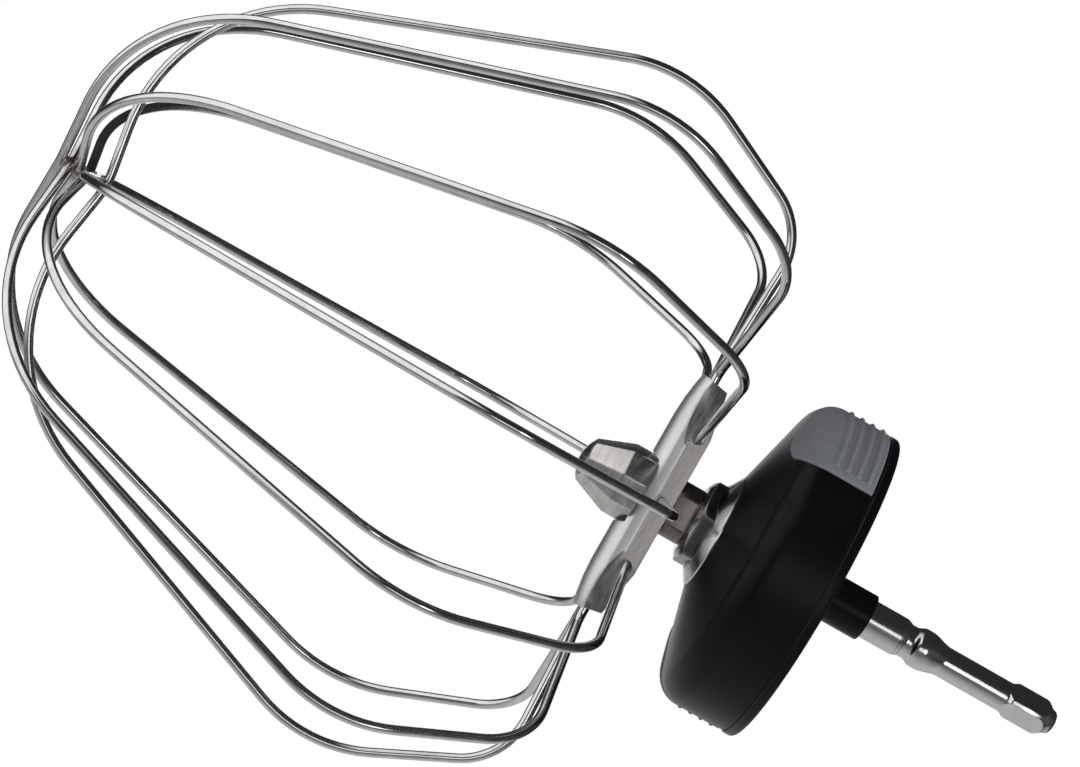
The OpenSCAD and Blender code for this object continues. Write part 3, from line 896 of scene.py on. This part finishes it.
grey_rubber = pad_rubber()
first_pad = grip_pad()
first_pad.name = first_pad.data.name = "grip_pad_right"
second_pad = copy_of(first_pad, "grip_pad_left")
turn_piece(first_pad, PAD_TURN)
turn_piece(second_pad, PAD_TURN + pi)
finish(first_pad, "grip_pad_1", grey_rubber, smooth=40)
finish(second_pad, "grip_pad_2", grey_rubber, smooth=40)


# Shank

def round_shank():
    """The turned part: screw, core, seat, groove, bead and waist."""
    seat_r, waist_r = SHANK_D / 2, WAIST_D / 2
    groove = SEAT_TOP + GROOVE_SLOPE
    crown = groove + GROOVE_L + BEAD_RISE
    stations = [(SCREW_D / 2, -SPOT_DROP - SCREW_IN), (SCREW_D / 2, HUB_TOP),
                (CORE_D / 2, HUB_TOP), (CORE_D / 2, COLLAR_TOP)]
    stations += [(seat_r - 0.2, COLLAR_TOP), (seat_r, COLLAR_TOP + 0.2),
                 (seat_r, SEAT_TOP - 0.25), (seat_r - 0.12, SEAT_TOP)]
    stations += ease((seat_r - 0.2, SEAT_TOP + 0.1), (GROOVE_D / 2, groove))
    stations += ease((GROOVE_D / 2, groove + GROOVE_L), (BEAD_D / 2, crown))
    stations += ease((BEAD_D / 2, crown + BEAD_L), (waist_r, BEAD_TOP), steps=16)
    return turned("drive_shank_body", stations + [(waist_r, WAIST_TOP)])


def drive_end():
    """The squared part: a round end with a domed tip, milled to a square."""
    waist_r, flat = WAIST_D / 2, DRIVE_AF / 2
    neck, dome = WAIST_TOP + DRIVE_LEAD + 0.6, DRIVE_TOP - DRIVE_DOME
    blank = [(waist_r - 0.01, WAIST_TOP - 0.5), (waist_r - 0.01, WAIST_TOP)]
    blank += ease((waist_r, WAIST_TOP + 0.1), (DRIVE_D / 2, neck), steps=8)
    blank += [(DRIVE_D / 2, dome)]
    blank += ease((DRIVE_D / 2, dome + 0.1), (flat - 0.6, DRIVE_TOP - 0.9), steps=6)[1:]
    blank += [(flat - 1.2, DRIVE_TOP - 0.3), (flat - 2.2, DRIVE_TOP)]
    drive = turned("drive_end", blank)
    square = ring("square", flat * 2 ** 0.5, at(0, 0, WAIST_TOP - 1), points=4)
    edit(square)
    extrude((0, 0, (DRIVE_TOP - WAIST_TOP + 2) * MM))
    leave()
    tidy(square)
    soften(square, 0.15, angle=40)
    combine(drive, square, "INTERSECT")
    return drive


def shank():
    body = round_shank()
    combine(body, drive_end(), "UNION")
    return body


finish(shank(), "shank", shank_steel, smooth=25)


# Camera: the whisk's axis runs down to the right at AXIS_DOWN, seen from a little towards the
# cage, with the axis at the side holes on the pixel ANCHOR_PX of a 1080 by 767 picture

PHOTO_W, PHOTO_H = 1080, 767
FOCAL_PX = 5000
DISTANCE = 1.1737
AXIS_DOWN = radians(29.69)
TILT = radians(3.3)
SWIVEL = radians(0.85)
ANCHOR_PX = (660.5, 500.8)
SENSOR = 36

X, Y = Vector((cos(SWIVEL), -sin(SWIVEL), 0)), Vector((sin(SWIVEL), cos(SWIVEL), 0))
Z = Vector((0, 0, 1))
seen_axis = cos(TILT) * Z + sin(TILT) * Y
back = cos(TILT) * Y - sin(TILT) * Z
right = cos(AXIS_DOWN) * seen_axis + sin(AXIS_DOWN) * X
up = cos(AXIS_DOWN) * X - sin(AXIS_DOWN) * seen_axis
anchor = at(0, 0, 0)
aside = (ANCHOR_PX[0] - PHOTO_W / 2) / FOCAL_PX * DISTANCE
above = (PHOTO_H / 2 - ANCHOR_PX[1]) / FOCAL_PX * DISTANCE
eye = anchor - right * aside - up * above + back * DISTANCE

camera_data = bpy.data.cameras.new("camera")
camera_data.sensor_fit = "HORIZONTAL"
camera_data.sensor_width = SENSOR
camera_data.lens = FOCAL_PX * SENSOR / PHOTO_W
camera_data.clip_end = 30
camera = bpy.data.objects.new("camera", camera_data)
bpy.context.collection.objects.link(camera)
turn = Matrix((right, up, back)).transposed()
camera.matrix_world = Matrix.Translation(eye) @ turn.to_4x4()
bpy.context.scene.camera = camera


# Studio: pale floor, soft lamps, and a cloth tent that only polished metal sees

STUDIO_MIDDLE = at(0, 0, -30)
FILL_COLOUR, FILL_STRENGTH = (0.97, 0.98, 1, 1), 0.45
WHITE, PALE = (1, 1, 1, 1), (0.93, 0.93, 0.93, 1)
FLOOR_Z, FLOOR_SIZE, FLOOR_FADE = -0.75, 4.4, (0.7, 2.0)

# The tent in metres, along the line of sight and across it, and how bright its parts are
TENT_R, TENT_BACK, TENT_FRONT = 0.6, 2.2, 1.6
TENT_MOUTH_X, TENT_MOUTH_Z, TENT_MOUTH_RISE = 0.28, 0.36, 0.11
TENT_DARK, TENT_GREY_BACK, TENT_GREY_FRONT, TENT_MOUTH_GREY = 0.028, 0.5, 0.12, 0.14
TIP_SIDE, TIP_EDGE = radians(25), (0.34, 0.46)
TIP_LIT_AT, TIP_LIT_REACH = 0.35, (0.42, 0.60)


def light_paths(tree):
    """1 for rays from the camera, and for those that metal or glass sends on."""
    path = make(tree, "LightPath").outputs
    seen = calc(tree, "MAXIMUM", path["Is Camera Ray"], path["Is Glossy Ray"])
    return calc(tree, "MAXIMUM", seen, path["Is Transmission Ray"])


def white_world():
    world = bpy.data.worlds.new("studio")
    world.use_nodes = True
    tree = world.node_tree
    tree.nodes.clear()
    fill = make(tree, "Background", {"Color": FILL_COLOUR, "Strength": FILL_STRENGTH})
    white = make(tree, "Background", {"Color": WHITE, "Strength": 1})
    mix = make(tree, "MixShader", {"Fac": light_paths(tree), 1: fill.outputs["Background"],
                                   2: white.outputs["Background"]})
    make(tree, "OutputWorld", {"Surface": mix.outputs["Shader"]})
    bpy.context.scene.world = world


def studio_floor():
    """A pale sheet far below the hanging whisk, fading to white at its edge."""
    bpy.ops.object.select_all(action="DESELECT")
    bpy.ops.mesh.primitive_plane_add(size=FLOOR_SIZE, location=(0, 0, FLOOR_Z))
    floor = new_piece("studio_floor")
    material, tree, shader, place = start_material("pale_floor")
    shader.inputs["Base Color"].default_value = PALE
    shader.inputs["Roughness"].default_value = 0.9
    away = measure(tree, "DISTANCE", place, (0, 0, FLOOR_Z))
    white = make(tree, "Emission", {"Color": WHITE, "Strength": 1})
    mix = make(tree, "MixShader", {"Fac": spread_over(tree, away, 0, 1, *FLOOR_FADE),
                                   1: shader.outputs["BSDF"], 2: white.outputs["Emission"]})
    tree.links.new(mix.outputs["Shader"], tree.nodes["Material Output"].inputs["Surface"])
    floor.data.materials.append(material)


def lamp(name, toward, distance, size, power):
    data = bpy.data.lights.new(name, "AREA")
    data.shape = "RECTANGLE"
    data.size = data.size_y = size
    data.energy = power
    made = bpy.data.objects.new(name, data)
    way = toward.normalized()
    made.location = STUDIO_MIDDLE + way * distance
    made.rotation_euler = way.to_track_quat("Z", "Y").to_euler()
    bpy.context.collection.objects.link(made)


def tent_glow(tree):
    """How bright the cloth is. Its upper right side is black and its lower left is grey, paler
    towards the back. The side beyond the whisk's tip is lit, but not behind the whisk."""
    place = make(tree, "TexCoord").outputs["Object"]
    parts = make(tree, "SeparateXYZ", {"Vector": place}).outputs
    low_side = spread_over(tree, parts["X"], 1, 0, -0.5, -0.2)
    paler = spread_over(tree, parts["Y"], TENT_GREY_BACK, TENT_GREY_FRONT, 0, 0.9)
    low_side = calc(tree, "MULTIPLY", low_side, paler)
    front = spread_over(tree, parts["Y"], 0, TENT_MOUTH_GREY, 1.2, 1.5)
    front = calc(tree, "MULTIPLY", front, spread_over(tree, parts["X"], 1, 0, -0.1, 0.15))
    toward_tip = measure(tree, "DOT_PRODUCT", place, (sin(TIP_SIDE), 0, -cos(TIP_SIDE)))
    start = -STUDIO_MIDDLE.z * cos(TIP_SIDE)
    tip_side = spread_over(tree, toward_tip, 0, 1, *(start + edge for edge in TIP_EDGE))
    depth = calc(tree, "ABSOLUTE", calc(tree, "SUBTRACT", parts["Y"], TIP_LIT_AT))
    tip_side = calc(tree, "MULTIPLY", tip_side,
                    spread_over(tree, depth, 1, 0, *TIP_LIT_REACH))
    total = calc(tree, "MAXIMUM", calc(tree, "MAXIMUM", low_side, front), tip_side)
    return calc(tree, "ADD", total, TENT_DARK)


def tent():
    """A tube of cloth round the line of sight, with a narrow opening at the camera's end."""
    bpy.ops.object.select_all(action="DESELECT")
    bpy.ops.mesh.primitive_circle_add(
        vertices=64, radius=TENT_R, fill_type="NOTHING", location=STUDIO_MIDDLE - Y * TENT_BACK,
        rotation=(pi / 2, 0, 0))
    cloth = new_piece("studio_tent")
    edit(cloth)
    extrude((0, TENT_BACK + TENT_FRONT, 0))
    extrude((0, 0, 0))
    bpy.ops.transform.resize(value=(TENT_MOUTH_X / TENT_R, 1, TENT_MOUTH_Z / TENT_R),
                             center_override=STUDIO_MIDDLE)
    bpy.ops.transform.translate(value=(0, 0, TENT_MOUTH_RISE))
    leave()
    material = bpy.data.materials.new("tent_cloth")
    material.use_nodes = True
    tree = material.node_tree
    tree.nodes.clear()
    glow = make(tree, "Emission", {"Strength": tent_glow(tree), "Color": WHITE})
    make(tree, "OutputMaterial", {"Surface": glow.outputs["Emission"]})
    cloth.data.materials.append(material)
    cloth.visible_camera = False
    cloth.visible_diffuse = False
    cloth.visible_shadow = False
    cloth.visible_transmission = False


bpy.context.scene.view_settings.view_transform = "Standard"
white_world()
studio_floor()
tent()
lamp("key_lamp", back * 0.6 + up * 0.75 - right * 0.5, distance=1.3, size=0.9, power=16)
lamp("fill_lamp", back * 0.8 + right * 0.6 - up * 0.2, distance=1.5, size=1.1, power=7)
lamp("top_lamp", Z + 0.2 * Y, distance=1.2, size=1.0, power=9)
